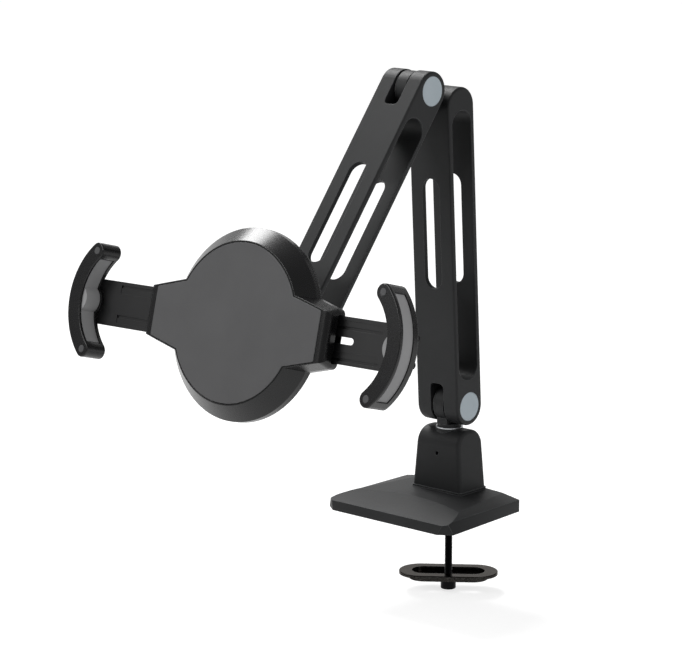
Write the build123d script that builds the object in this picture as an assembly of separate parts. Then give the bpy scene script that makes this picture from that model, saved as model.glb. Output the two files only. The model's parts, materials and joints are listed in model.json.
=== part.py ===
from build123d import *
from math import acos, atan, cos, degrees, hypot, pi, radians, sin
import os

os.makedirs("parts", exist_ok=True)

# Tablet arm on a desk clamp. Millimetres, +Z up, front towards -Y.
# The origin is on the clamp bolt's axis, in the plane of the desk top.

# Pose of the joints at rest, in degrees
lower_lean = 3.2
upper_lean = 38.1
holder_tilt = 15.2
holder_turn = 1.1
plate_turn = 38.0

# Clearances
running_gap = 0.05
seat_gap = 0.1
side_gap = 0.15
slide_gap = 0.3
hole_end_gap = 0.5
overlap = 0.1

# Base: cover, steel plate, foot sheet
base_back_width = 112.0
base_front_width = 124.0
base_front = 75.5
base_back = 16.0
corner_width = 10.5
corner_depth = 7.5
rim_height = 9.6
side_rim_front = 9.2
front_rim = 7.4
crown_height = 13.4
crown_fall = 1.2
crown_half_back = 39.7
crown_half_front = 55.0
side_lean = 4.2
front_slope = 36.0
front_slope_rise = 3.6
front_draft = 2.4
cover_lift = 0.4
cover_wall = 3.2
roof_thickness = 3.4
pad_thickness = 1.5
pad_margin = 1.0
pad_corner = 6.0
plate_thickness = 3.0
boss_radius = 8.0
boss_height = 10.0
foot_screw_diameter = 3.0
foot_screw_length = 6.0
foot_screw_head = 6.0
foot_screw_inset = 14.0
foot_post_radius = 4.0
hex_share = 0.6
hex_depth_share = 0.8

# Post that carries the swivel
post_width = 48.3
post_depth = 31.2
post_top = 60.4
post_side_taper = 4.1
post_front_taper = 1.4
post_corner = 3.0
post_crown_round = 12.4
post_bead = 0.5
post_bead_height = 1.2
post_collar_height = 8.0
bush_wall = 1.6
bush_depth = 4.0
bush_length = 17.5
post_cavity_radius = 12.0
set_screw_diameter = 3.0
set_screw_height = 42.2
set_screw_recess = 0.8
set_screw_flats = 1.5
set_screw_socket = 2.0

# Swivel knuckle
pivot_height = 79.0
shaft_radius = 8.0
shaft_length = 25.5
shaft_bore_radius = 3.6
shaft_bore_top = 58.0
collar_radius = 10.4
collar_thickness = 0.9
neck_radius = 9.2
neck_height = 2.7
tab_thickness = 9.6
tab_radius = 13.8
clip_thickness = 1.2
clip_depth = 0.7
clip_reach = 2.0

# Arms
arm_width = 39.4
arm_depth = 29.0
arm_edge_round = 1.6
arm_wall = 3.8
rim_chamfer = 0.5
window_width = 16.4
window_length = 84.0
fork_slot = 13.0
fork_round = 4.0
lower_length = 229.4
lower_fork = 18.5
lower_pocket_start = 21.5
lower_window_start = 91.8
upper_length = 203.0
upper_fork = 22.0
upper_pocket_start = 25.0
upper_window_start = 71.5
pocket_end_wall = 17.6
elbow_back = 31.9
elbow_rise = 16.0
elbow_root_radius = 9.0

# Pivot hardware of both arms
pivot_bolt_radius = 4.0
pivot_head_radius = 7.0
pivot_head_height = 4.0
pivot_socket_flats = 6.0
pivot_socket_depth = 2.4
pivot_nut_flats = 13.0
pivot_nut_height = 4.6
pivot_pocket_radius = 8.5
pivot_pocket_depth = 5.0
cap_radius = 11.1
cap_thickness = 2.3
cap_sink = 0.2
cap_chamfer = 0.4
friction_radius = 12.0

# Head: tongue on the upper arm, fork bracket, stud into the holder
head_forward = 23.7
head_along = 13.1
head_tongue_radius = 11.0
head_root_radius = 9.0
head_cheek_thickness = 6.0
head_cheek_radius = 11.0
head_reach = 38.0
head_plate_radius = 17.0
head_plate_thickness = 3.0
head_bolt_radius = 3.0
head_bolt_head_radius = 5.0
head_bolt_head_height = 3.0
head_socket_flats = 4.0
head_socket_depth = 2.0
head_nut_flats = 10.0
head_nut_height = 4.0
head_friction_radius = 9.0
stud_radius = 9.0
stud_clip_reach = 3.0
stud_clip_thickness = 1.3
stud_clip_rest = 0.4
hub_washer_radius = 15.0
hub_washer_thickness = 0.8

# Holder housing
pad_radius = 56.4
pad_wing_reach = 78.3
pad_wing_half = 17.5
pad_wing_root = 50.5
pad_wing_root_half = 24.3
pad_corner_round = 1.5
pad_reveal = 0.4
face_pad_thickness = 1.4
face_pad_proud = 0.4
frame_margin = 1.3
shell_radius = 68.2
shell_wing_reach = 86.0
shell_wing_half = 20.0
shell_wing_root = 59.0
shell_wing_root_half = 26.6
wing_corner = 4.2
wing_roll = 5.0
flare_depth = 11.0
face_thickness = 2.6
shell_wall = 2.4
back_cover_thickness = 4.2
back_bevel = 3.4
hub_radius = 17.0
hub_height = 2.0
house_screw_diameter = 3.0
house_screw_length = 9.0
house_screw_head = 6.0
house_screw_offset = 38.0
house_boss_radius = 4.0

# Bars that carry the grips, and the gear between them
bar_half = 16.5
bar_thickness = 2.5
bar_front = 9.7
bar_inner = 74.0
bar_end_margin = 2.0
bar_travel_in = 52.0
bar_travel_out = 6.0
groove_width = 2.0
groove_depth = 1.2
groove_high = 13.0
groove_low = 8.7
ledge_drop = 0.4
ledge_width = 4.0
groove_lead = 2.0
groove_stop = 30.0
slot_bridge = 4.0
stop_slot_outer = 100.2
stop_slot_width = 4.8
stop_slot_above = 4.1
gear_room = 9.0
rack_tip = 17.0
tooth_count = 11
tooth_module = 0.6
tooth_thin = 0.84
pressure_angle = 25.0
tooth_rise = 0.9
tooth_fall = 1.15
flank_steps = 6
axle_radius = 1.4
axle_boss_radius = 4.0
axle_seat = 3.5
guide_rib = 2.2
guide_line = 13.0
guide_pad_in = 70.0
guide_pad_out = 82.6

# Grips
grip_arc_centre = 103.4
grip_outer_radius = 55.0
grip_outer_channel = 5.9
grip_web = 3.6
grip_inner_channel = 2.5
grip_span = 47.0
grip_front = 8.5
grip_lip = 2.0
grip_lip_round = 0.9
grip_flange = 2.6
outer_lip = 2.6
outer_flange = 4.4
lining_proud = 0.9
lobe_radius = 10.4
lobe_reach = 4.4
lobe_margin = 1.5
outer_lining_end = 5.0
tip_cap_radius = 2.6
tip_cap_proud = 0.3
tip_cap_depth = 1.2
grip_screw_diameter = 3.0
grip_screw_length = 6.0
grip_screw_head = 5.6
grip_screw_head_height = 1.8
grip_screw_socket = 1.1
grip_screw_spread = 9.0

# Clamp bolt and plate
bolt_radius = 3.0
bolt_above = 12.0
bolt_below = 59.3
bolt_head_radius = 5.85
bolt_head_height = 8.0
bolt_socket_radius = 2.9
bolt_socket_depth = 4.0
bolt_edge = 0.6
clamp_length = 76.0
clamp_width = 35.0
clamp_sheet = 2.4
clamp_dish_length = 56.0
clamp_dish_width = 19.0
clamp_dish_depth = 3.6
clamp_slot_length = 42.0
clamp_slot_width = 6.8
clamp_edge_round = 0.6


def block(x0, x1, y0, y1, z0, z1):
    return Pos((x0 + x1) / 2, (y0 + y1) / 2, (z0 + z1) / 2) * Box(abs(x1 - x0), abs(y1 - y0), abs(z1 - z0))


def post_x(radius, x0, x1, y=0, z=0):
    return Pos((x0 + x1) / 2, y, z) * Rot(0, 90, 0) * Cylinder(radius, abs(x1 - x0))


def post_y(radius, y0, y1, x=0, z=0):
    return Pos(x, (y0 + y1) / 2, z) * Rot(90, 0, 0) * Cylinder(radius, abs(y1 - y0))


def post_z(radius, z0, z1, x=0, y=0):
    return Pos(x, y, (z0 + z1) / 2) * Cylinder(radius, abs(z1 - z0))


def ring_z(outer, inner, z0, z1, x=0, y=0):
    return post_z(outer, z0, z1, x, y) - post_z(inner, min(z0, z1) - 1, max(z0, z1) + 1, x, y)


def ring_x(outer, inner, x0, x1, y=0, z=0):
    return post_x(outer, x0, x1, y, z) - post_x(inner, min(x0, x1) - 1, max(x0, x1) + 1, y, z)


def hex_z(flats, z0, z1, x=0, y=0):
    return Pos(x, y, min(z0, z1)) * extrude(RegularPolygon(flats / 2, 6, major_radius=False), abs(z1 - z0))


def along_x(sketch, x0, x1):
    """Solid from a sketch of (Y, Z), run along X."""
    return extrude(Plane.YZ.offset(min(x0, x1)) * sketch, abs(x1 - x0))


def along_y(sketch, y0, y1):
    """Solid from a sketch of (X, Z), run along Y."""
    face = Plane(origin=(0, max(y0, y1), 0), x_dir=(1, 0, 0), z_dir=(0, -1, 0))
    return extrude(face * sketch, abs(y1 - y0))


def link(p, p_radius, q, q_radius):
    """Outline of two circles and the straight tangents between them."""
    dx, dy = q[0] - p[0], q[1] - p[1]
    gap = hypot(dx, dy)
    dx, dy = dx / gap, dy / gap
    turn = acos((p_radius - q_radius) / gap)
    corners = []
    for side in (1, -1):
        nx = dx * cos(turn) - side * dy * sin(turn)
        ny = dy * cos(turn) + side * dx * sin(turn)
        ends = [
            (p[0] + p_radius * nx, p[1] + p_radius * ny),
            (q[0] + q_radius * nx, q[1] + q_radius * ny),
        ]
        corners += ends if side == 1 else ends[::-1]
    body = make_face(Polyline(*corners, close=True))
    return body + Pos(*p) * Circle(p_radius) + Pos(*q) * Circle(q_radius)


def save(shape, name):
    shape.label = name
    export_step(shape, "parts/" + name + ".step")


def both_sides(shape):
    return shape + mirror(shape, about=Plane.YZ)


# Frames of the moving bodies
pivot_frame = Pos(0, 0, pivot_height)
lower_frame = pivot_frame * Rot(lower_lean, 0, 0)
elbow_local = (-elbow_back, lower_length + elbow_rise)
elbow_point = (lower_frame * Pos(0, *elbow_local)).position
upper_frame = Pos(*elbow_point) * Rot(180 - upper_lean, 0, 0)
head_local = (head_forward, upper_length + head_along)
head_point = (upper_frame * Pos(0, *head_local)).position
head_frame = Pos(*head_point) * Rot(90 - holder_tilt, 0, 0) * Pos(0, 0, head_reach)
holder_frame = head_frame * Rot(0, 0, holder_turn)

# Heights and depths that follow from the sizes above
plate_bottom = pad_thickness
plate_top = plate_bottom + plate_thickness
bush_top = post_top - bush_depth
bush_bottom = bush_top - bush_length
bush_outer = shaft_radius + running_gap + bush_wall
collar_top = post_top + collar_thickness
neck_top = collar_top + neck_height
shaft_bottom = post_top - shaft_length
fork_half = fork_slot / 2
tab_half = tab_thickness / 2
friction_in = tab_half + running_gap
friction_out = fork_half - running_gap
cap_outer = arm_width / 2 - cap_sink
cap_inner = cap_outer - cap_thickness
pocket_floor = cap_inner - pivot_pocket_depth
grip_web_outer = grip_outer_radius - grip_outer_channel
grip_web_inner = grip_web_outer - grip_web
grip_inner_radius = grip_web_inner - grip_inner_channel
grip_screw_line = grip_arc_centre + (grip_web_inner + grip_web_outer) / 2
bar_end_radius = grip_web_outer + bar_end_margin
bar_outer = grip_arc_centre + bar_end_radius
grip_tip_radius = (grip_outer_radius - grip_inner_radius) / 2
bar_back = bar_front + bar_thickness
rear_bar_front = bar_back + slide_gap
rear_bar_back = rear_bar_front + bar_thickness
cover_face = rear_bar_back + slide_gap
cover_back = cover_face + back_cover_thickness
hub_back = cover_back + hub_height
bracket_face = hub_back + hub_washer_thickness
bracket_back = bracket_face + head_plate_thickness
stud_clip_front = cover_face + seat_gap
stud_clip_back = stud_clip_front + stud_clip_thickness
pitch_radius = tooth_count * tooth_module / 2
rack_teeth_tip = pitch_radius - tooth_module * tooth_rise
rack_teeth_root = pitch_radius + tooth_module * tooth_fall
tooth_pitch = pi * tooth_module
axle_end = cover_face - seat_gap
bolt_seat = -bolt_below
dish_floor = bolt_seat
dish_rim = dish_floor + clamp_sheet + clamp_dish_depth


# Base
def plinth_plan(inset, front_inset):
    """Outline of the plinth: narrower at the back, front corners cut off."""
    back = base_back_width / 2 - inset
    front = base_front_width / 2 - inset
    rear_y = base_back - inset
    front_y = -base_front + front_inset
    splay = (base_front_width - base_back_width) / 2 / (base_front + base_back)
    right = [
        (back, rear_y),
        (front - splay * corner_depth, front_y + corner_depth),
        (front - corner_width, front_y),
    ]
    left = [(-x, y) for x, y in right[::-1]]
    return make_face(Polyline(*right, *left, close=True))


def crown_section(half, lean, rim, crown_half, y):
    """Cross-section at one depth: straight sides, bevels and a slightly domed crown."""
    edge = crown_height - crown_fall
    crown = ThreePointArc((crown_half, edge), (0, crown_height), (-crown_half, edge))
    rest = Polyline(
        (-crown_half, edge), (lean - half, rim), (-half, cover_lift),
        (half, cover_lift), (half - lean, rim), (crown_half, edge),
    )
    place = Plane(origin=(0, y, 0), x_dir=(1, 0, 0), z_dir=(0, -1, 0))
    return place * make_face([crown, rest])


def plinth_outer():
    front_section = crown_section(base_front_width / 2, side_lean, side_rim_front,
                                  crown_half_front, -base_front)
    back_section = crown_section(base_back_width / 2, 0, rim_height, crown_half_back, base_back)
    body = loft([back_section, front_section], ruled=True)
    rim = (-base_front + front_draft, front_rim)
    brow = (-base_front + front_slope, crown_height)
    middle = ((rim[0] + brow[0]) / 2, front_rim + front_slope_rise)
    slope = ThreePointArc(rim, middle, brow)
    sides = Polyline(
        brow, (brow[0], crown_height + 1), (base_back, crown_height + 1),
        (base_back, cover_lift), (-base_front, cover_lift), rim,
    )
    body &= along_x(make_face([slope, sides]), -base_front_width, base_front_width)
    return body & extrude(plinth_plan(0, 0), crown_height + 1)


def post_outer():
    low = rim_height
    high = post_top
    side_top = post_width / 2 - post_side_taper
    front_top = post_depth / 2 - post_front_taper
    side = make_face(Polyline(
        (-post_width / 2, low), (post_width / 2, low), (side_top, high), (-side_top, high), close=True))
    front = make_face(Polyline(
        (-post_depth / 2, low), (post_depth / 2, low), (front_top, high), (-front_top, high), close=True))
    front = fillet(front.vertices().group_by(Axis.Y)[-1], post_crown_round)
    body = along_y(side, -post_depth, post_depth) & along_x(front, -post_width, post_width)
    arches = [e for e in body.edges() if abs(e.center().X) > side_top / 2 and e.center().Z > low + 1]
    body = fillet(arches, post_corner)
    bead = RectangleRounded(post_width + 2 * post_bead, post_depth + 2 * post_bead, post_corner)
    bead = Pos(0, 0, low) * extrude(bead, crown_height - low + post_bead_height)
    return body + (bead & block(-post_width, post_width, -post_depth, base_back, 0, post_top))


def foot_screw_places():
    x = base_back_width / 2 - foot_screw_inset
    return [
        (side * x, y)
        for side in (-1, 1)
        for y in (-base_front + foot_screw_inset, base_back - foot_screw_inset)
    ]


def base_cover():
    body = plinth_outer() + post_outer()
    inside = plinth_plan(cover_wall, cover_wall + front_draft)
    body -= extrude(inside, rim_height - roof_thickness)
    for x, y in foot_screw_places():
        hole_end = plate_bottom + foot_screw_length + hole_end_gap
        body += post_z(foot_post_radius, plate_top + seat_gap, front_rim, x, y)
        body -= post_z(foot_screw_diameter / 2 + running_gap, 0, hole_end, x, y)
    body -= post_z(post_cavity_radius, 0, bush_bottom)
    body += post_z(collar_radius, post_top - post_collar_height, post_top)
    body -= post_z(bush_outer + running_gap, bush_bottom - 1, bush_top)
    body -= post_z(shaft_radius + running_gap, bush_bottom, post_top + 1)
    body -= post_y(set_screw_diameter / 2 + running_gap, -post_depth, 0, z=set_screw_height)
    return body


def base_plate():
    edge = cover_wall + side_gap
    body = Pos(0, 0, plate_bottom) * extrude(plinth_plan(edge, edge + front_draft), plate_thickness)
    body += post_z(boss_radius, plate_top, plate_top + boss_height)
    body -= post_z(bolt_radius + running_gap, 0, plate_top + boss_height + 1)
    for x, y in foot_screw_places():
        body -= countersunk(foot_screw_diameter, foot_screw_head, seat_gap,
                            plate_bottom, plate_top + 1, x, y)
    return body


def countersunk(shank, head, gap, face, end, x, y):
    """Shape of a countersunk screw, its head flush with the face below, grown by the gap."""
    depth = (head - shank) / 2
    cone = Pos(x, y, face + depth / 2) * Cone(head / 2 + gap, shank / 2 + gap, depth)
    return cone + post_z(shank / 2 + gap, face + depth, end, x, y)


def countersunk_screws(shank, head, face, length, places):
    body = None
    for x, y in places:
        screw = countersunk(shank, head, 0, face, face + length, x, y)
        socket_end = face + (head - shank) / 2 * hex_depth_share
        screw -= hex_z(shank * hex_share, face - 1, socket_end, x, y)
        body = screw if body is None else body + screw
    return body


def base_screws():
    return countersunk_screws(foot_screw_diameter, foot_screw_head, plate_bottom, foot_screw_length,
                              foot_screw_places())


def base_pad():
    edge = cover_wall + side_gap + pad_margin
    body = extrude(plinth_plan(edge, edge + front_draft), pad_thickness)
    body = fillet(body.edges().filter_by(Axis.Z), pad_corner)
    return body - post_z(boss_radius, -1, pad_thickness + 1)


def swivel_bush():
    return ring_z(bush_outer, shaft_radius + running_gap, bush_bottom, bush_top)


def swivel_washer():
    return ring_z(collar_radius, shaft_radius + running_gap, post_top + running_gap, collar_top)


def set_screw():
    tip = bush_outer + running_gap
    rise = (set_screw_height - rim_height) / (post_top - rim_height)
    face = post_depth / 2 - post_front_taper * rise
    screw = post_y(set_screw_diameter / 2, -face + set_screw_recess, -tip, z=set_screw_height)
    socket_end = -face + set_screw_recess + set_screw_socket
    socket = Pos(0, socket_end, set_screw_height) * Rot(90, 0, 0) * hex_z(set_screw_flats, 0, post_depth)
    return screw - socket


# Swivel
def swivel_knuckle():
    clip_top = bush_bottom - seat_gap
    body = post_z(shaft_radius, shaft_bottom, collar_top)
    body += post_z(neck_radius, collar_top, neck_top)
    root = Pos(0, (neck_top + pivot_height) / 2) * Rectangle(2 * neck_radius, pivot_height - neck_top)
    outline = root + Pos(0, pivot_height) * Circle(tab_radius)
    body += along_x(outline, -tab_half, tab_half)
    body -= post_x(pivot_bolt_radius + running_gap, -arm_width, arm_width, z=pivot_height)
    body -= post_z(shaft_bore_radius, shaft_bottom - 1, shaft_bore_top)
    body -= ring_z(shaft_radius + 1, shaft_radius - clip_depth, clip_top - clip_thickness, clip_top)
    return body


def swivel_clip():
    clip_top = bush_bottom - seat_gap / 2
    body = ring_z(shaft_radius + clip_reach, shaft_radius - clip_depth + running_gap,
                  clip_top - clip_thickness + seat_gap, clip_top - seat_gap / 2)
    return body - block(-clip_reach, clip_reach, 0, 2 * shaft_radius, 0, post_top)


# Arms
def arm(length, fork, pocket_start, window_start, tongue, tongue_radius, root_radius):
    """Arm in its own frame: fork at the origin, far end along Z, tongue beside the far end."""
    half = arm_width / 2
    radius = arm_depth / 2
    body = along_x(link((0, 0), radius, (0, length), radius), -half, half)
    faces = body.faces().sort_by(Axis.X)
    body = fillet(faces[0].edges() + faces[-1].edges(), arm_edge_round)
    body += along_x(link(tongue, tongue_radius, (0, length), root_radius), -tab_half, tab_half)
    # window through the front and back walls
    window = SlotOverall(window_length, window_width)
    window = Pos(0, window_start + window_length / 2) * Rot(0, 0, 90) * window
    body -= along_y(window, -arm_depth, arm_depth)
    # pocket right through from side to side
    pocket_radius = radius - arm_wall
    pocket_top = length + radius - pocket_end_wall
    pocket_low = (0, pocket_start + pocket_radius)
    pocket_high = (0, pocket_top - pocket_radius)
    pocket = link(pocket_low, pocket_radius, pocket_high, pocket_radius)
    body -= along_x(pocket, -arm_width, arm_width)
    rims = [
        edge for edge in body.edges().group_by(Axis.X)[0] + body.edges().group_by(Axis.X)[-1]
        if abs(edge.center().Y) < radius - arm_wall / 2
        and pocket_start - 1 < edge.center().Z < pocket_top + 1
    ]
    body = chamfer(rims, rim_chamfer)
    # fork slot, open at the end
    slot = Rectangle(fork_slot, fork + arm_depth)
    slot = Pos(0, fork - (fork + arm_depth) / 2) * fillet(slot.vertices().group_by(Axis.Y)[-1], fork_round)
    body -= along_y(slot, -arm_depth, arm_depth)
    # pivot bore, head and nut pockets, cap seats
    body -= post_x(pivot_bolt_radius + running_gap, -half, half)
    body -= both_sides(post_x(pivot_pocket_radius, pocket_floor, half))
    body -= both_sides(post_x(cap_radius + seat_gap, cap_inner, half + 1))
    body -= post_x(pivot_bolt_radius + running_gap, -half, half, *tongue)
    return body


def pivot_bolt():
    head_top = pocket_floor + pivot_head_height
    body = post_x(pivot_bolt_radius, -pocket_floor - pivot_nut_height, pocket_floor + overlap)
    body += post_x(pivot_head_radius, pocket_floor, head_top)
    socket = hex_z(pivot_socket_flats, 0, arm_width)
    socket = Pos(head_top - pivot_socket_depth, 0, 0) * Rot(0, 90, 0) * socket
    return body - socket


def pivot_nut():
    body = Pos(-pocket_floor - pivot_nut_height, 0, 0) * Rot(0, 90, 0) * hex_z(
        pivot_nut_flats, 0, pivot_nut_height)
    return body - post_x(pivot_bolt_radius + running_gap, -arm_width, 0)


def pivot_caps():
    cap = post_x(cap_radius, cap_inner, cap_outer)
    cap = chamfer(cap.faces().sort_by(Axis.X)[-1].edges(), cap_chamfer)
    return both_sides(cap)


def friction_washers():
    return both_sides(ring_x(friction_radius, pivot_bolt_radius + running_gap, friction_in, friction_out))


# Head
def head_bracket():
    inner = fork_half
    outer = inner + head_cheek_thickness
    pivot = -head_reach
    foot = (-bracket_back - bracket_face) / 2
    outline = Pos(0, (foot + pivot) / 2) * Rectangle(2 * head_cheek_radius, abs(foot - pivot))
    outline += Pos(0, pivot) * Circle(head_cheek_radius)
    body = both_sides(along_x(outline, inner, outer))
    body += post_z(head_plate_radius, -bracket_back, -bracket_face)
    body += post_z(stud_radius, -bracket_face, -stud_clip_front)
    groove_top = -stud_clip_front - stud_clip_rest
    body -= ring_z(stud_radius + 1, stud_radius - clip_depth, -stud_clip_back, groove_top)
    body -= post_x(head_bolt_radius + running_gap, -arm_width, arm_width, z=pivot)
    return body


def head_bolt():
    outer = fork_half + head_cheek_thickness
    body = post_x(head_bolt_radius, -outer - head_nut_height, outer, z=-head_reach)
    body += post_x(head_bolt_head_radius, outer, outer + head_bolt_head_height, z=-head_reach)
    socket_end = outer + head_bolt_head_height - head_socket_depth
    socket = Pos(socket_end, 0, -head_reach) * Rot(0, 90, 0) * hex_z(head_socket_flats, 0, arm_width)
    return body - socket


def head_nut():
    outer = fork_half + head_cheek_thickness
    body = Pos(-outer - head_nut_height, 0, -head_reach) * Rot(0, 90, 0) * hex_z(
        head_nut_flats, 0, head_nut_height)
    return body - post_x(head_bolt_radius + running_gap, -arm_width, 0, z=-head_reach)


def head_friction_washers():
    ring = ring_x(head_friction_radius, head_bolt_radius + running_gap, friction_in, friction_out,
                  z=-head_reach)
    return both_sides(ring)


def stud_clip():
    body = ring_z(stud_radius + stud_clip_reach, stud_radius - clip_depth + running_gap,
                  -stud_clip_back + seat_gap / 2, -stud_clip_front - stud_clip_rest - seat_gap / 2)
    return body - block(-clip_reach, clip_reach, 0, 2 * stud_radius, -head_reach, 0)


def hub_washer():
    return ring_z(hub_washer_radius, stud_radius + running_gap, -bracket_face, -hub_back)


# Holder
def wing_outline(reach, half, root, root_half, corner):
    corners = [(reach, half), (root, root_half), (-root, root_half), (-reach, half)]
    corners += [(x, -y) for x, y in corners[::-1]]
    outline = make_face(Polyline(*corners, close=True))
    return fillet([v for v in outline.vertices() if abs(v.X) > root + overlap], corner)


def face_outline(margin):
    wing = wing_outline(pad_wing_reach + margin, pad_wing_half + margin,
                        pad_wing_root, pad_wing_root_half + margin, pad_corner_round)
    return wing + Circle(pad_radius + margin)


def shell_outline(inset):
    wing = wing_outline(shell_wing_reach - inset, shell_wing_half - inset,
                        shell_wing_root, shell_wing_root_half - inset, wing_corner)
    return wing + Circle(shell_radius - inset)


def face_pad():
    top = face_pad_proud
    body = Pos(0, 0, top - face_pad_thickness) * extrude(face_outline(0), face_pad_thickness)
    return fillet(body.faces().sort_by(Axis.Z)[-1].edges(), face_pad_proud)


def flare(inset, depth):
    """Body that widens from the face to the shell's rim, then runs straight to the depth."""
    reach = shell_wing_reach - inset
    slope = (pad_wing_root_half - pad_wing_half) / (pad_wing_reach - pad_wing_root)
    small_half = pad_wing_half + frame_margin - (shell_wing_reach - pad_wing_reach) * slope
    small_wing = wing_outline(reach, small_half - inset, pad_wing_root,
                              pad_wing_root_half + frame_margin - inset, wing_corner)
    big_wing = wing_outline(reach, shell_wing_half - inset,
                            shell_wing_root, shell_wing_root_half - inset, wing_corner)
    body = loft([small_wing, Pos(0, 0, -flare_depth) * big_wing], ruled=True)
    # the wings' ends roll over from the face
    profile = Pos(0, -flare_depth / 2) * Rectangle(2 * reach, flare_depth)
    profile = fillet(profile.vertices().group_by(Axis.Y)[-1], wing_roll)
    body &= along_y(profile, -shell_radius, shell_radius)
    low = shell_radius - inset
    high = pad_radius + frame_margin - inset
    body += Pos(0, 0, -flare_depth / 2) * Cone(low, high, flare_depth)
    body += Pos(0, 0, -depth) * extrude(shell_outline(inset), depth - flare_depth)
    return body


def house_screw_places():
    return [(i * house_screw_offset, j * house_screw_offset) for i in (-1, 1) for j in (-1, 1)]


def front_housing():
    body = flare(0, cover_face)
    hollow = flare(shell_wall, cover_face + 1) & block(-shell_wing_reach, shell_wing_reach, -shell_radius,
                                                       shell_radius, -cover_face - 1, -face_thickness)
    body -= hollow
    recess = extrude(face_outline(pad_reveal), face_pad_thickness)
    body -= Pos(0, 0, face_pad_proud - face_pad_thickness) * recess
    # ribs that guide the bars' edges and faces
    rib_in = bar_half + slide_gap
    for side in (-1, 1):
        body += block(-shell_wing_root, shell_wing_root, side * rib_in, side * (rib_in + guide_rib),
                      -face_thickness + overlap, -cover_face)
        body += block(-guide_pad_out, guide_pad_out, side * guide_line, side * (guide_line + guide_rib),
                      -face_thickness + overlap, -bar_front + slide_gap)
    for x, y in house_screw_places():
        body += post_z(house_boss_radius, -face_thickness + overlap, -cover_face, x, y)
        depth = house_screw_length - back_cover_thickness + hole_end_gap
        body -= post_z(house_screw_diameter / 2 + running_gap, -cover_face - 1, -cover_face + depth, x, y)
    # mouths for the bars, pads for the rear bar, boss for the gear's axle
    mouth = block(0, shell_wing_reach + 1, -rib_in, rib_in, -bar_front + slide_gap, -cover_face - 1)
    body -= both_sides(mouth)
    for side in (-1, 1):
        body += block(guide_pad_in, guide_pad_out, side * guide_line, side * (guide_line + guide_rib),
                      -face_thickness + overlap, -rear_bar_front + slide_gap)
    body += post_z(axle_boss_radius, -face_thickness + overlap, -bar_front + slide_gap)
    body -= post_z(axle_radius, -cover_face, -axle_seat)
    return body


def back_cover():
    body = Pos(0, 0, -cover_back) * extrude(shell_outline(0), back_cover_thickness)
    body = chamfer(body.faces().sort_by(Axis.Z)[0].edges(), back_bevel)
    body += post_z(hub_radius, -hub_back, -cover_back)
    body -= post_z(stud_radius + running_gap, -hub_back - 1, 0)
    body -= post_z(stud_radius + stud_clip_reach + 1, -stud_clip_back - seat_gap, 0)
    for side in (-1, 1):
        body += block(-guide_pad_out, -guide_pad_in, side * guide_line, side * (guide_line + guide_rib),
                      -bar_back - slide_gap, -cover_face)
    for x, y in house_screw_places():
        body -= countersunk(house_screw_diameter, house_screw_head, seat_gap, -cover_back, 0, x, y)
    return body


def housing_screws():
    return countersunk_screws(house_screw_diameter, house_screw_head, -cover_back, house_screw_length,
                              house_screw_places())


def involute(radius, turn):
    """Point at a radius on the gear's involute, turned from the tooth's middle."""
    base = pitch_radius * cos(radians(pressure_angle))
    roll = (max(radius / base, 1) ** 2 - 1) ** 0.5
    at_pitch = (1 / cos(radians(pressure_angle)) ** 2 - 1) ** 0.5
    lead = (roll - atan(roll)) - (at_pitch - atan(at_pitch))
    angle = turn - lead
    return radius * sin(angle), radius * cos(angle)


def pinion():
    root = pitch_radius - tooth_module * tooth_fall
    tip = pitch_radius + tooth_module * tooth_rise
    half = pi / (2 * tooth_count) * tooth_thin
    low = root - overlap
    radii = [low + (tip - low) * k / flank_steps for k in range(flank_steps + 1)]
    flank = [involute(radius, half) for radius in radii]
    points = flank + [(-x, y) for x, y in flank[::-1]]
    gear_tooth = make_face(Polyline(*points, close=True))
    outline = Circle(root)
    for k in range(tooth_count):
        outline += Rot(0, 0, k * 360 / tooth_count) * gear_tooth
    body = Pos(0, 0, -rear_bar_back) * extrude(outline, rear_bar_back - bar_front)
    return body - post_z(axle_radius + running_gap, -cover_back, 0)


def pinion_axle():
    return post_z(axle_radius, -axle_end, -axle_seat)


def rack_row(shift):
    """Row of rack teeth that point down at the gear, with a gap over its middle at no shift."""
    half = tooth_pitch / 4 * tooth_thin
    lean = sin(radians(pressure_angle)) / cos(radians(pressure_angle))
    wide = half + tooth_module * tooth_fall * lean
    narrow = half - tooth_module * tooth_rise * lean
    one = make_face(Polyline(
        (-wide, rack_teeth_root + overlap), (-wide, rack_teeth_root), (-narrow, rack_teeth_tip),
        (narrow, rack_teeth_tip), (wide, rack_teeth_root), (wide, rack_teeth_root + overlap), close=True,
    ))
    first = -int(bar_travel_in / tooth_pitch) - 3
    last = int(bar_travel_out / tooth_pitch) + 2
    return [Pos((k + 0.5 + shift) * tooth_pitch, 0) * one for k in range(first, last)]


def rectangle(x0, x1, y0, y1):
    return Pos((x0 + x1) / 2, (y0 + y1) / 2) * Rectangle(abs(x1 - x0), abs(y1 - y0))


def bar_plate(front, outline):
    """Bar on the left side: its outline made solid, with face grooves and screw holes."""
    body = Pos(0, 0, -front - bar_thickness) * extrude(outline, bar_thickness)
    groove_end = bar_outer - groove_stop
    for y in (groove_high, -groove_low):
        edge = y - groove_width / 2
        body -= block(-groove_end, -bar_inner + groove_lead, edge, edge + groove_width,
                      -front - groove_depth, -front + 1)
        body -= block(-groove_end, -bar_inner + groove_lead, edge - ledge_width, edge,
                      -front - ledge_drop, -front + 1)
    for y in (-grip_screw_spread, grip_screw_spread):
        body -= post_z(grip_screw_diameter / 2 + seat_gap, -front - bar_thickness - 1, -front + 1,
                       -grip_screw_line, y)
    return body


def bar_outline(inner):
    """Flat outline of a bar from a point inside the holder to its rounded outer end."""
    outline = rectangle(-bar_outer, inner, -bar_half, bar_half)
    end = Pos(-grip_arc_centre, 0) * Circle(bar_end_radius)
    return outline & (end + rectangle(-grip_arc_centre, rack_tip, -bar_half, bar_half))


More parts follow.
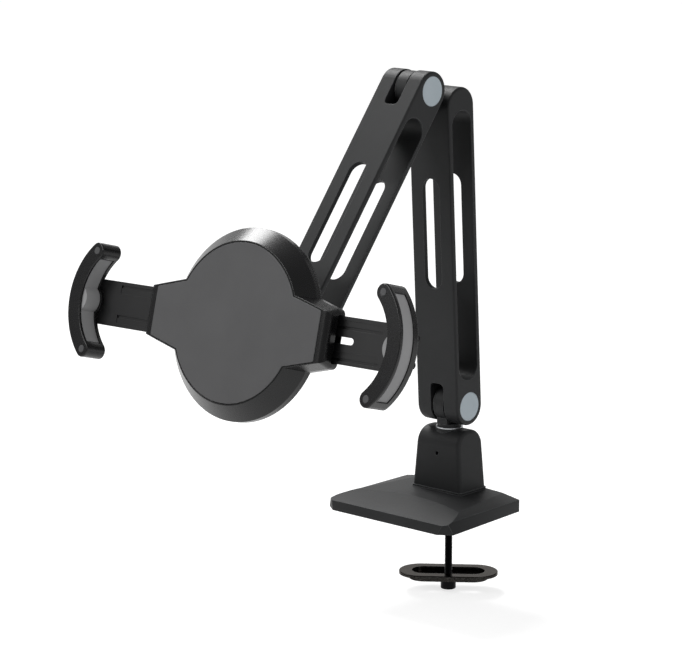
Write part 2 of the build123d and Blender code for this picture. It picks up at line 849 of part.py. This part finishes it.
def left_bar():
    outline = bar_outline(-bar_inner)
    outline += rectangle(-bar_inner - 1, rack_tip, rack_teeth_root, bar_half)
    for one in rack_row(0):
        outline += one
    return bar_plate(bar_front, outline)


def right_bar():
    """Bar with a long slot: the gear turns in it, against teeth on its lower edge."""
    outline = bar_outline(rack_tip)
    slot_end = rack_tip - slot_bridge
    height = stop_slot_above + rack_teeth_tip
    gear_reach = bar_travel_in + gear_room
    slot = Pos((slot_end - gear_reach) / 2, (rack_teeth_tip - stop_slot_above) / 2) * SlotOverall(
        gear_reach + slot_end, height)
    slot += Pos(-stop_slot_outer / 2, 0) * SlotOverall(stop_slot_outer, stop_slot_width)
    # an odd gear has a gap where an even one has a tooth, on its far side
    teeth = rack_row(tooth_count % 2 / 2)
    first = -(int(bar_travel_in / tooth_pitch) + 3) * tooth_pitch
    relief = rectangle(first, slot_end - height / 2, rack_teeth_tip - overlap, rack_teeth_root)
    outline = outline - slot - relief
    for one in teeth:
        outline += one
    return Rot(0, 0, 180) * bar_plate(rear_bar_front, outline)


def arc_band(inner, outer, span, z0, z1):
    """Piece of a ring about the grip's centre, on the left side."""
    ring = Circle(outer) - Circle(inner)
    reach = 2 * outer
    wedge = make_face(Polyline(
        (0, 0), (-reach * cos(radians(span)), reach * sin(radians(span))), (-reach, 0),
        (-reach * cos(radians(span)), -reach * sin(radians(span))), close=True,
    ))
    return Pos(-grip_arc_centre, 0, min(z0, z1)) * extrude(ring & wedge, abs(z1 - z0))


def tip_places():
    middle = (grip_inner_radius + grip_outer_radius) / 2
    return [
        (-grip_arc_centre - middle * cos(radians(grip_span)), side * middle * sin(radians(grip_span)))
        for side in (-1, 1)
    ]


def lobe(radius, inner, outer, z0, z1):
    """Round nose on the inner side of the left grip, cut off at a radius about the grip's centre."""
    centre = -grip_arc_centre - grip_inner_radius + lobe_reach - lobe_radius
    return post_z(radius, z0, z1, centre, 0) & arc_band(inner, outer, grip_span, z0, z1)


def grip(bar_face):
    """Left grip: front lip, web, rear flange, round tips and the block that meets the bar."""
    rear = -bar_front
    lip = arc_band(grip_inner_radius, grip_outer_radius, grip_span, grip_front - grip_lip, grip_front)
    for x, y in tip_places():
        lip += post_z(grip_tip_radius, grip_front - grip_lip, grip_front, x, y)
    body = fillet(lip.faces().sort_by(Axis.Z)[-1].edges(), grip_lip_round)
    body += arc_band(grip_web_inner, grip_web_outer, grip_span, rear, grip_front - grip_lip_round)
    body += arc_band(grip_web_inner, grip_outer_radius, grip_span, grip_front - outer_lip,
                     grip_front - grip_lip)
    body += arc_band(grip_inner_radius, grip_outer_radius, grip_span, rear, rear + grip_flange)
    body += arc_band(grip_web_inner, grip_outer_radius, grip_span, rear, rear + outer_flange)
    end = arc_band(grip_web_inner, grip_outer_radius, grip_span, rear, grip_front - grip_lip)
    body += end - arc_band(grip_inner_radius, grip_outer_radius + 1, grip_span - outer_lining_end,
                           rear - 1, grip_front)
    nose = lobe_reach + lobe_margin
    body += lobe(lobe_radius + lobe_margin, grip_inner_radius - nose, grip_web_outer,
                 rear, rear + grip_flange)
    for x, y in tip_places():
        body += post_z(grip_tip_radius, rear, grip_front - grip_lip_round, x, y)
        body -= post_z(tip_cap_radius + running_gap, grip_front - tip_cap_depth, grip_front + 1, x, y)
    if bar_face > bar_front:
        foot = arc_band(grip_inner_radius, grip_web_outer, grip_span / 3, rear + overlap, -bar_face)
        body += foot
    for y in (-grip_screw_spread, grip_screw_spread):
        boss = post_z(grip_screw_diameter, rear, rear + grip_screw_length, -grip_screw_line, y)
        body += boss & arc_band(grip_inner_radius + 1, grip_outer_radius - 1, grip_span, rear, grip_front)
        hole_end = -bar_face + grip_screw_length - bar_thickness + hole_end_gap
        body -= post_z(grip_screw_diameter / 2 + running_gap, -bar_face - 1, hole_end, -grip_screw_line, y)
    return body


def lining(inner, outer, lip, flange, span):
    """Rubber strip in the channel of the left grip."""
    rear = -bar_front + flange + running_gap
    front = grip_front - lip - running_gap
    body = arc_band(inner, outer, span, rear, front)
    for x, y in tip_places():
        body -= post_z(grip_tip_radius + running_gap, rear - 1, front + 1, x, y)
    return body


def screw_relief():
    """Room in a lining for the two bosses of the grip's screws."""
    low = -bar_front - 1
    high = -bar_front + grip_screw_length + seat_gap
    first, second = [
        post_z(grip_screw_diameter + seat_gap, low, high, -grip_screw_line, side * grip_screw_spread)
        for side in (-1, 1)
    ]
    return first + second


def inner_lining():
    inner = grip_inner_radius + lining_proud
    outer = grip_web_inner - running_gap
    body = lining(inner, outer, grip_lip, grip_flange, grip_span)
    rear = -bar_front + grip_flange + running_gap
    front = grip_front - grip_lip - running_gap
    body += lobe(lobe_radius, grip_inner_radius - lobe_reach, outer, rear, front)
    return body - screw_relief()


def outer_lining():
    inner = grip_web_outer + running_gap
    outer = grip_outer_radius - lining_proud
    span = grip_span - outer_lining_end - degrees(running_gap / inner)
    body = lining(inner, outer, outer_lip, outer_flange, span)
    return body - screw_relief()


def tip_caps():
    body = None
    for x, y in tip_places():
        cap = post_z(tip_cap_radius, grip_front - tip_cap_depth, grip_front + tip_cap_proud, x, y)
        cap = fillet(cap.faces().sort_by(Axis.Z)[-1].edges(), tip_cap_proud)
        body = cap if body is None else body + cap
    return body


def grip_screws(bar_face):
    body = None
    back = -bar_face - bar_thickness
    for y in (-grip_screw_spread, grip_screw_spread):
        low = back - grip_screw_head_height
        screw = post_z(grip_screw_diameter / 2, back, back + grip_screw_length, -grip_screw_line, y)
        screw += post_z(grip_screw_head / 2, low, back, -grip_screw_line, y)
        screw -= hex_z(grip_screw_diameter * hex_share, low - 1, low + grip_screw_socket,
                       -grip_screw_line, y)
        body = screw if body is None else body + screw
    return body


# Clamp
def clamp_bolt():
    body = post_z(bolt_radius, bolt_seat, bolt_above)
    body = chamfer(body.faces().sort_by(Axis.Z)[-1].edges(), bolt_edge)
    head = post_z(bolt_head_radius, bolt_seat - bolt_head_height, bolt_seat)
    head = fillet(head.faces().sort_by(Axis.Z)[0].edges(), bolt_edge)
    body += head
    return body - hex_z(bolt_socket_radius * 2, bolt_seat - bolt_head_height - 1,
                        bolt_seat - bolt_head_height + bolt_socket_depth)


def clamp_plate():
    rim = dish_rim - clamp_sheet
    body = Pos(0, 0, rim) * extrude(SlotOverall(clamp_length, clamp_width), clamp_sheet)
    body = fillet(body.faces().sort_by(Axis.Z)[-1].edges(), clamp_edge_round)
    cup = SlotOverall(clamp_dish_length + 2 * clamp_sheet, clamp_dish_width + 2 * clamp_sheet)
    body += Pos(0, 0, dish_floor) * extrude(cup, clamp_dish_depth)
    dish = extrude(SlotOverall(clamp_dish_length, clamp_dish_width), clamp_length)
    body -= Pos(0, 0, dish_floor + clamp_sheet) * dish
    slot = extrude(SlotOverall(clamp_slot_length, clamp_slot_width), clamp_sheet + 2)
    body -= Pos(0, 0, dish_floor - 1) * slot
    return Rot(0, 0, plate_turn) * body


# Output
def mirrored(shape):
    return mirror(shape, about=Plane.YZ)


lower_arm = arm(lower_length, lower_fork, lower_pocket_start, lower_window_start,
                elbow_local, tab_radius, elbow_root_radius)
upper_arm = arm(upper_length, upper_fork, upper_pocket_start, upper_window_start,
                head_local, head_tongue_radius, head_root_radius)

pieces = {
    "base_cover": base_cover(),
    "base_plate": base_plate(),
    "base_foot_pad": base_pad(),
    "base_screws": base_screws(),
    "swivel_bush": swivel_bush(),
    "swivel_set_screw": set_screw(),
    "swivel_washer": swivel_washer(),
    "swivel_knuckle": swivel_knuckle(),
    "swivel_retaining_clip": swivel_clip(),
    "lower_arm": lower_frame * lower_arm,
    "lower_pivot_bolt": lower_frame * pivot_bolt(),
    "lower_pivot_nut": lower_frame * pivot_nut(),
    "lower_pivot_caps": lower_frame * pivot_caps(),
    "lower_friction_washers": lower_frame * friction_washers(),
    "upper_arm": upper_frame * upper_arm,
    "elbow_pivot_bolt": upper_frame * pivot_bolt(),
    "elbow_pivot_nut": upper_frame * pivot_nut(),
    "elbow_pivot_caps": upper_frame * pivot_caps(),
    "elbow_friction_washers": upper_frame * friction_washers(),
    "head_bracket": head_frame * head_bracket(),
    "head_pivot_bolt": head_frame * head_bolt(),
    "head_pivot_nut": head_frame * head_nut(),
    "head_friction_washers": head_frame * head_friction_washers(),
    "head_stud_clip": head_frame * stud_clip(),
    "head_hub_washer": head_frame * hub_washer(),
    "holder_front_housing": holder_frame * front_housing(),
    "holder_back_cover": holder_frame * back_cover(),
    "holder_face_pad": holder_frame * face_pad(),
    "holder_screws": holder_frame * housing_screws(),
    "holder_pinion": holder_frame * pinion(),
    "holder_pinion_axle": holder_frame * pinion_axle(),
    "left_bar": holder_frame * left_bar(),
    "left_grip": holder_frame * grip(bar_front),
    "left_inner_lining": holder_frame * inner_lining(),
    "left_outer_lining": holder_frame * outer_lining(),
    "left_tip_caps": holder_frame * tip_caps(),
    "left_grip_screws": holder_frame * grip_screws(bar_front),
    "right_bar": holder_frame * right_bar(),
    "right_grip": holder_frame * mirrored(grip(rear_bar_front)),
    "right_inner_lining": holder_frame * mirrored(inner_lining()),
    "right_outer_lining": holder_frame * mirrored(outer_lining()),
    "right_tip_caps": holder_frame * mirrored(tip_caps()),
    "right_grip_screws": holder_frame * mirrored(grip_screws(rear_bar_front)),
    "clamp_bolt": clamp_bolt(),
    "clamp_plate": clamp_plate(),
}

for name, shape in pieces.items():
    save(shape, name)
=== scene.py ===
import json
import math
import bpy
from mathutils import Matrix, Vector


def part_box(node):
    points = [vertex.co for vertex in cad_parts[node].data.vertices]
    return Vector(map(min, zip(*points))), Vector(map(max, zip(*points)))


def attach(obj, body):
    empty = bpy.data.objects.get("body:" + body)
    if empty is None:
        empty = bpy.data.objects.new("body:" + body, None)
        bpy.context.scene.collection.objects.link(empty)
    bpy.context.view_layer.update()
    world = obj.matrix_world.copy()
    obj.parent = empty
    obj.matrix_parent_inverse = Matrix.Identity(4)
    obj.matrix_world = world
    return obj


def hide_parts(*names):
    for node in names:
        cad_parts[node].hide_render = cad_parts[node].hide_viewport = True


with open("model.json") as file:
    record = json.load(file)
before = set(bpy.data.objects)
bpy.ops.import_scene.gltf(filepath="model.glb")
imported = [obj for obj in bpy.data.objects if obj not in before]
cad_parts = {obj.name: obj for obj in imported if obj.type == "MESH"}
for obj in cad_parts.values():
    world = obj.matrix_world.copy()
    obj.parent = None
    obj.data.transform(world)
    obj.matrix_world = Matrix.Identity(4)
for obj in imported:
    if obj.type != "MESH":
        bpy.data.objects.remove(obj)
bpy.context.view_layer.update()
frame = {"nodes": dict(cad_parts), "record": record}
nodes = frame["nodes"]
MM = 0.001

# The photograph's camera: place, line of sight and lens, in metres and pixels
EYE = Vector((1.3584, -1.6280, 0.5777))
SIGHT = Vector((-0.6562, 0.7269, -0.2023))
FOCAL_PIXELS = 2863.0
FRAME_WIDTH = 682
SENSOR_WIDTH = 36.0
CLIP_NEAR = 0.05
CLIP_FAR = 50

# Light: the sky's strength and the point that the softboxes face, in metres
SKY_STRENGTH = 0.3
LIT_POINT = (0, -0.12, 0.15)

# The floor lies just under the clamp bolt's head. The sweep rises so far behind the object that
# it never comes between the object and a view from the back.
FLOOR_Z = -0.0685
FLOOR_HALF = 8.0
RISE_START = 6.0
RISE_BEND = 1.0
RISE_TOP = 4.0
BEND_STEPS = 12

# How bright the paper looks by the object, where it shows the shadow, and out where the lights fade
PAPER_LIFT = 0.73
PAPER_LIFT_FAR = 0.88
FADE_START = 0.7
FADE_END = 2.5

# Surface patterns: the cells of slow colour clouds in millimetres, the detail of the finer noises, and
# the part of a noise's range that a colour or a roughness is spread over
COAT_CLOUD = 40
PLASTIC_CLOUD = 25
RUBBER_BLOOM = 30
FINE_DETAIL = 3.0
CLOUD_BAND = (0.35, 0.65)
GRAIN_BAND = (0.3, 0.7)

# Edges: how alike the true and the rounded normal are where the paler edge colour, partly wear and partly a
# painted highlight, is full and where it ends
WEAR_AND_HIGHLIGHT_BAND = (0.86, 0.995)
WEAR_AND_HIGHLIGHT_SAMPLES = 4
ROLL_SAMPLES = 6

# The clamp bolt, a standard M6 socket-head screw, in millimetres
BOLT_RADIUS = 3.0
BOLT_HEAD_HEIGHT = 8.0
BOLT_SOCKET = 2.9
BOLT_SOCKET_DEPTH = 4.0
BOLT_EDGE = 0.6
BOLT_SIDES = 48
THREAD_PITCH = 1.0
THREAD_DEPTH = 0.5
THREAD_STEPS = 8
THREAD_RUN_IN = 2
EDGE_STEPS = 6
SHARP_ANGLE = 40


def place_camera():
    data = bpy.data.cameras.new("photo_camera")
    data.sensor_width = SENSOR_WIDTH
    data.lens = FOCAL_PIXELS / FRAME_WIDTH * SENSOR_WIDTH
    data.clip_start = CLIP_NEAR
    data.clip_end = CLIP_FAR
    camera = bpy.data.objects.new("photo_camera", data)
    camera.location = EYE
    camera.rotation_mode = "QUATERNION"
    camera.rotation_quaternion = SIGHT.to_track_quat("-Z", "Y")
    bpy.context.scene.collection.objects.link(camera)
    bpy.context.scene.camera = camera


def linear(code):
    """Linear RGBA from an sRGB hex code such as 2b2c2e."""
    parts = [int(code[i:i + 2], 16) / 255 for i in (0, 2, 4)]
    return [p / 12.92 if p <= 0.04045 else ((p + 0.055) / 1.055) ** 2.4 for p in parts] + [1.0]


def add(tree, kind, inputs=None, **settings):
    """Adds a node with its settings; inputs holds a value or a socket to link from for each input."""
    made = tree.nodes.new(kind)
    for name, value in settings.items():
        setattr(made, name, value)
    for key, value in (inputs or {}).items():
        socket = made.inputs[key]
        if isinstance(value, bpy.types.NodeSocket):
            tree.links.new(value, socket)
        else:
            socket.default_value = value
    return made


def shades(tree, factor, low, high, start=0.0, end=1.0):
    """Colour ramp between two hex colours."""
    ramp = add(tree, "ShaderNodeValToRGB", {"Fac": factor})
    ramp.color_ramp.elements[0].position = start
    ramp.color_ramp.elements[0].color = linear(low)
    ramp.color_ramp.elements[1].position = end
    ramp.color_ramp.elements[1].color = linear(high)
    return ramp.outputs["Color"]


def rescale(tree, value, low, high, start=0.0, end=1.0):
    """Spreads the values from start to end over the range from low to high."""
    made = add(tree, "ShaderNodeMapRange", {
        "Value": value, "From Min": start, "From Max": end, "To Min": low, "To Max": high})
    return made.outputs["Result"]


def begin(name, **shader_values):
    """New material, its node tree, its shader and the object coordinates for its patterns."""
    material = bpy.data.materials.new(name)
    material.use_nodes = True
    tree = material.node_tree
    shader = tree.nodes["Principled BSDF"]
    for key, value in shader_values.items():
        shader.inputs[key.replace("_", " ")].default_value = value
    place = add(tree, "ShaderNodeTexCoord").outputs["Object"]
    return material, tree, shader, place


def grain(tree, place, size_mm, detail=2.0):
    """Noise whose cells are about size_mm across."""
    return add(tree, "ShaderNodeTexNoise", {
        "Vector": place, "Scale": 1 / (size_mm * MM), "Detail": detail}).outputs["Fac"]


def edge_wear_and_highlight_mask(tree, radius_mm):
    """White near sharp edges, where wear and a painted highlight are laid: where a rounded normal turns away
    from the true one.
    """
    rounded = add(tree, "ShaderNodeBevel", {"Radius": radius_mm * MM}, samples=WEAR_AND_HIGHLIGHT_SAMPLES)
    true = add(tree, "ShaderNodeNewGeometry")
    alike = add(tree, "ShaderNodeVectorMath", {
        0: rounded.outputs["Normal"], 1: true.outputs["Normal"]}, operation="DOT_PRODUCT")
    return rescale(tree, alike.outputs["Value"], 1.0, 0.0, *WEAR_AND_HIGHLIGHT_BAND)


def wear_and_edge_highlight(tree, colour, worn_and_highlit, radius_mm):
    """The colour, with a paler one near sharp edges that is partly wear, partly a painted highlight."""
    mix = add(tree, "ShaderNodeMix", {
        0: edge_wear_and_highlight_mask(tree, radius_mm), 6: colour, 7: linear(worn_and_highlit)}, data_type="RGBA")
    return mix.outputs[2]


def finish_surface(tree, shader, height, distance_mm, strength, edge_mm):
    """Bump of the grain on a normal that rolls over the edges."""
    rolled = add(tree, "ShaderNodeBevel", {"Radius": edge_mm * MM}, samples=ROLL_SAMPLES).outputs["Normal"]
    bump = add(tree, "ShaderNodeBump", {
        "Height": height, "Distance": distance_mm * MM, "Strength": strength, "Normal": rolled})
    tree.links.new(bump.outputs["Normal"], shader.inputs["Normal"])


def powder_coated_aluminium():
    # Satin black powder coat on die-cast aluminium: an even soft sheen with a fine pebbled
    # grain, and paler edges that are partly rubbed-thin coat, partly a painted highlight. Real grain is 0.2
    # mm, drawn 0.5 mm.
    material, tree, shader, place = begin("powder_coated_aluminium", IOR=1.36)
    pebble = grain(tree, place, 0.5)
    cloud = grain(tree, place, COAT_CLOUD, FINE_DETAIL)
    coat = shades(tree, cloud, "18191a", "1e1f20", *CLOUD_BAND)
    # The paler edge colour 585a5b is partly wear, partly a painted highlight on the rims.
    tree.links.new(wear_and_edge_highlight(tree, coat, "585a5b", 0.6), shader.inputs["Base Color"])
    tree.links.new(rescale(tree, pebble, 0.5, 0.6, *GRAIN_BAND), shader.inputs["Roughness"])
    finish_surface(tree, shader, pebble, 0.05, 0.25, 0.5)
    return material


def zinc_plated_steel():
    # Zinc-plated steel, turned and tumbled: pale grey with fine lathe lines. Lines 0.1 mm, drawn 0.3 mm.
    material, tree, shader, place = begin("zinc_plated_steel", Metallic=1.0)
    lines = grain(tree, place, 0.3)
    tree.links.new(shades(tree, lines, "9a9ca0", "c2c4c6"), shader.inputs["Base Color"])
    tree.links.new(rescale(tree, lines, 0.28, 0.42), shader.inputs["Roughness"])
    finish_surface(tree, shader, lines, 0.02, 0.2, 0.2)
    return material


def black_oxide_steel():
    # Black-oxide steel, oiled: nearly black with a low satin shine. Real specks are 0.1 mm, drawn 0.4 mm.
    material, tree, shader, place = begin("black_oxide_steel", Metallic=1.0)
    speck = grain(tree, place, 0.4)
    tree.links.new(shades(tree, speck, "121213", "1c1c1d"), shader.inputs["Base Color"])
    tree.links.new(rescale(tree, speck, 0.4, 0.55), shader.inputs["Roughness"])
    finish_surface(tree, shader, speck, 0.02, 0.2, 0.2)
    return material


def black_nickel_steel():
    # Pressed steel plate under black nickel: a dark mirror-like skin with paler drawn streaks.
    # Real streaks are 0.1 mm wide, drawn 0.5 mm.
    material, tree, shader, place = begin("black_nickel_steel", Metallic=1.0)
    shader.inputs["Specular Tint"].default_value = linear("d6d4d2")
    turned = add(tree, "ShaderNodeMapping", {
        "Vector": place, "Rotation": (0, 0, math.radians(-38)), "Scale": (0.06, 1.0, 1.0)}).outputs["Vector"]
    streaks = grain(tree, turned, 0.5, FINE_DETAIL)
    tree.links.new(shades(tree, streaks, "191817", "4a4845", 0.42, 0.74), shader.inputs["Base Color"])
    tree.links.new(rescale(tree, streaks, 0.16, 0.3), shader.inputs["Roughness"])
    finish_surface(tree, shader, streaks, 0.02, 0.15, 0.4)
    return material


def sintered_bronze():
    # Sintered bronze bush, oil-filled: dull golden brown with fine pores.
    # Real pores are 0.05 mm, drawn 0.3 mm.
    material, tree, shader, place = begin("sintered_bronze", Metallic=1.0)
    pores = grain(tree, place, 0.3, 4.0)
    tree.links.new(shades(tree, pores, "6b5030", "a5824f"), shader.inputs["Base Color"])
    tree.links.new(rescale(tree, pores, 0.4, 0.6), shader.inputs["Roughness"])
    finish_surface(tree, shader, pores, 0.03, 0.3, 0.1)
    return material


def moulded_plastic(name, low, high, roughness, size_mm, strength, edge_mm=0.35, ior=1.5, worn_and_highlit=None):
    """Injection-moulded plastic: an even colour, a spark-eroded grain and softened edges.

    A real mould's grain is about 0.1 mm, and size_mm draws it coarser.
    """
    material, tree, shader, place = begin(name, IOR=ior)
    texture = grain(tree, place, size_mm)
    cloud = grain(tree, place, PLASTIC_CLOUD, FINE_DETAIL)
    colour = shades(tree, cloud, low, high, *CLOUD_BAND)
    # Paler edges: partly wear, partly a painted highlight.
    if worn_and_highlit:
        colour = wear_and_edge_highlight(tree, colour, worn_and_highlit, edge_mm)
    tree.links.new(colour, shader.inputs["Base Color"])
    tree.links.new(rescale(tree, texture, *roughness, *GRAIN_BAND), shader.inputs["Roughness"])
    finish_surface(tree, shader, texture, 0.03, strength, edge_mm)
    return material


def sheet_rubber(name, low, high, roughness, size_mm, strength):
    """Moulded silicone rubber: matt, with a soft cloudy bloom and a grain drawn at size_mm."""
    material, tree, shader, place = begin(name, IOR=1.43)
    texture = grain(tree, place, size_mm, FINE_DETAIL)
    bloom = grain(tree, place, RUBBER_BLOOM, FINE_DETAIL)
    tree.links.new(shades(tree, bloom, low, high, *GRAIN_BAND), shader.inputs["Base Color"])
    tree.links.new(rescale(tree, texture, *roughness, *GRAIN_BAND), shader.inputs["Roughness"])
    finish_surface(tree, shader, texture, 0.04, strength, 0.4)
    return material


def make_finishes():
    """Each material slot of the record, with the finish that the real piece has."""
    return {
        "painted_alloy": powder_coated_aluminium(),
        "zinc_steel": zinc_plated_steel(),
        "black_steel": black_oxide_steel(),
        "nickel_plate": black_nickel_steel(),
        "bronze_bush": sintered_bronze(),
        # Acetal washers: waxy off-white.
        "washer_plastic": moulded_plastic("acetal_washer", "c4c4c0", "d2d2ce", (0.35, 0.45), 0.4, 0.1),
        # Painted ABS hinge caps: cool light grey with a satin skin.
        "cap_plastic": moulded_plastic("painted_abs_cap", "b8c4cb", "bec9d0", (0.42, 0.5), 0.5, 0.15),
        # Polished black ABS housing: deep black with crisp soft reflections.
        # Its paler edge colour 2c2d2e is partly wear, partly a painted highlight.
        "black_plastic": moulded_plastic(
            "polished_black_abs", "101011", "141415", (0.24, 0.3), 0.8, 0.02,
            edge_mm=0.6, ior=1.4, worn_and_highlit="2c2d2e"),
        # Glass-filled nylon bars: near black with a fine satin grain.
        # Its paler edge colour 303132 is partly wear, partly a painted highlight.
        "bar_plastic": moulded_plastic(
            "glass_filled_nylon", "141415", "19191a", (0.38, 0.5), 0.4, 0.15,
            edge_mm=0.3, ior=1.4, worn_and_highlit="303132"),
        # Dull ABS plugs in the tips of the grips: charcoal grey.
        "tip_plastic": moulded_plastic("charcoal_abs_plug", "424243", "48484a", (0.45, 0.55), 0.4, 0.2),
        # Acetal gear inside the holder: creamy white with a waxy shine.
        "gear_plastic": moulded_plastic(
            "acetal_gear", "d8d6cc", "e2e0d6", (0.3, 0.4), 0.4, 0.1, edge_mm=0.1),
        # Rubber sheet under the foot: dull black with a coarse grain.
        "foot_rubber": sheet_rubber("foot_rubber_sheet", "1d1d1d", "242424", (0.75, 0.9), 0.6, 0.4),
        # Silicone pad on the holder's face: smooth matt mid grey.
        "pad_rubber": sheet_rubber("silicone_face_pad", "515152", "565657", (0.5, 0.6), 0.5, 0.2),
        # Silicone linings of the grips: paler grey, dry and matt.
        "lining_rubber": sheet_rubber("silicone_grip_lining", "9a9a9b", "a1a1a2", (0.55, 0.7), 0.5, 0.25),
    }


def dress_nodes(finishes):
    """Gives every CAD node the finish of its material slot."""
    for part in frame["record"]["subparts"]:
        piece = nodes[part["node"]]
        piece.data.materials.clear()
        piece.data.materials.append(finishes[part["material_slot"]])


def saw(phase):
    """Triangular wave: 1 at the crest of a thread and 0 at its root."""
    return abs(2 * (phase % 1.0) - 1)


def threaded_clamp_bolt(material):
    """M6 socket-head bolt with its thread and hex socket, in place of the CAD bolt's plain shank.

    Each ring of the lathe form is a height and a function that gives the radius at an angle.
    """
    low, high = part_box("clamp_bolt")
    seat = low[2] + BOLT_HEAD_HEIGHT * MM
    head = (high[0] - low[0]) / 2
    turns = [2 * math.pi * k / BOLT_SIDES for k in range(BOLT_SIDES)]
    edge = BOLT_EDGE * MM
    tip = high[2] - edge

    def hexagon(angle):
        return BOLT_SOCKET * MM / math.cos((angle % (math.pi / 3)) - math.pi / 6)

    rings = [(low[2] + BOLT_SOCKET_DEPTH * MM, hexagon), (low[2], hexagon)]
    for k in range(EDGE_STEPS + 1):
        bend = math.pi / 2 * k / EDGE_STEPS
        radius = head - edge * (1 - math.sin(bend))
        rings.append((low[2] + edge * (1 - math.cos(bend)), lambda a, r=radius: r))
    rings += [(seat, lambda a: head), (seat, lambda a: BOLT_RADIUS * MM)]
    steps = int((tip - seat) / (THREAD_PITCH * MM) * THREAD_STEPS)
    for k in range(1, steps + 1):
        z = seat + (tip - seat) * k / steps
        turn = (z - seat) / (THREAD_PITCH * MM)
        fade = min(1.0, turn / THREAD_RUN_IN)
        rings.append((z, lambda a, t=turn, f=fade: (
            BOLT_RADIUS - THREAD_DEPTH * f * (1 - saw(t - a / (2 * math.pi)))) * MM))
    rings.append((high[2], lambda a: (BOLT_RADIUS - THREAD_DEPTH) * MM - edge / 2))
    verts = [(r(a) * math.cos(a), r(a) * math.sin(a), z) for z, r in rings for a in turns]
    n = BOLT_SIDES
    faces = [
        (i * n + j, i * n + (j + 1) % n, (i + 1) * n + (j + 1) % n, (i + 1) * n + j)
        for i in range(len(rings) - 1) for j in range(n)
    ]
    faces.append(tuple(reversed(range(n))))
    faces.append(tuple(range((len(rings) - 1) * n, len(rings) * n)))
    mesh = bpy.data.meshes.new("clamp_bolt_threaded")
    mesh.from_pydata(verts, [], faces)
    mesh.polygons.foreach_set("use_smooth", [True] * len(mesh.polygons))
    mesh.set_sharp_from_angle(angle=math.radians(SHARP_ANGLE))
    mesh.materials.append(material)
    bolt = bpy.data.objects.new("clamp_bolt_threaded", mesh)
    bpy.context.scene.collection.objects.link(bolt)
    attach(bolt, "clamp_screw")
    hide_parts("clamp_bolt")


def white_backdrop():
    # White seamless paper: the eye, metal and glass see it near white, and it still takes the shadow
    material, tree, shader, place = begin("white_seamless_paper", Roughness=0.9, IOR=1.4)
    fibre = grain(tree, place, 2.0, 3.0)
    tree.links.new(shades(tree, fibre, "b2b2b2", "b8b8b8"), shader.inputs["Base Color"])
    path = add(tree, "ShaderNodeLightPath").outputs
    seen = add(tree, "ShaderNodeMath", {
        0: path["Is Camera Ray"], 1: path["Is Glossy Ray"]}, operation="ADD")
    seen = add(tree, "ShaderNodeMath", {
        0: seen.outputs[0], 1: path["Is Transmission Ray"]}, operation="ADD")
    distance = add(tree, "ShaderNodeVectorMath", {0: place}, operation="LENGTH").outputs["Value"]
    strength = rescale(tree, distance, PAPER_LIFT, PAPER_LIFT_FAR, FADE_START, FADE_END)
    lift = add(tree, "ShaderNodeMath", {0: seen.outputs[0], 1: strength}, operation="MULTIPLY")
    tree.links.new(lift.outputs[0], shader.inputs["Emission Strength"])
    shader.inputs["Emission Color"].default_value = linear("ffffff")
    return material


def sweep(material):
    """Floor with a curved rise behind the object."""
    away = Vector((SIGHT.x, SIGHT.y, 0)).normalized()
    side = Vector((away.y, -away.x, 0))
    profile = [(-FLOOR_HALF, 0.0), (RISE_START, 0.0)]
    for k in range(1, BEND_STEPS + 1):
        angle = math.pi / 2 * k / BEND_STEPS
        profile.append((RISE_START + RISE_BEND * math.sin(angle), RISE_BEND * (1 - math.cos(angle))))
    profile.append((RISE_START + RISE_BEND, RISE_TOP))
    verts, faces = [], []
    for distance, rise in profile:
        for s in (-FLOOR_HALF, FLOOR_HALF):
            p = away * distance + side * s
            verts.append((p.x, p.y, FLOOR_Z + rise))
    for k in range(len(profile) - 1):
        a = 2 * k
        faces.append((a, a + 1, a + 3, a + 2))
    mesh = bpy.data.meshes.new("paper_sweep")
    mesh.from_pydata(verts, [], faces)
    mesh.materials.append(material)
    for face in mesh.polygons:
        face.use_smooth = True
    made = bpy.data.objects.new("paper_sweep", mesh)
    bpy.context.scene.collection.objects.link(made)


def softbox(name, where, width, height, power):
    """Rectangular light that faces the lit point; metres and watts."""
    data = bpy.data.lights.new(name, "AREA")
    data.shape = "RECTANGLE"
    data.size = width
    data.size_y = height
    data.energy = power
    lamp = bpy.data.objects.new(name, data)
    lamp.location = where
    lamp.rotation_mode = "QUATERNION"
    lamp.rotation_quaternion = (Vector(LIT_POINT) - Vector(where)).to_track_quat("-Z", "Y")
    bpy.context.scene.collection.objects.link(lamp)


def light_studio():
    world = bpy.data.worlds.new("studio")
    bpy.context.scene.world = world
    world.use_nodes = True
    sky = world.node_tree.nodes["Background"]
    sky.inputs["Color"].default_value = (1, 1, 1, 1)
    sky.inputs["Strength"].default_value = SKY_STRENGTH
    softbox("key_left_front", (-0.9, -1.7, 1.3), 0.9, 0.9, 19)
    softbox("top_left_box", (-0.95, 0.25, 1.35), 0.6, 0.6, 20)
    softbox("right_box", (1.8, -0.2, 0.9), 0.8, 1.2, 9)


bpy.context.scene.view_settings.view_transform = "Standard"
place_camera()
light_studio()
sweep(white_backdrop())
finishes = make_finishes()
dress_nodes(finishes)
threaded_clamp_bolt(finishes["black_steel"])
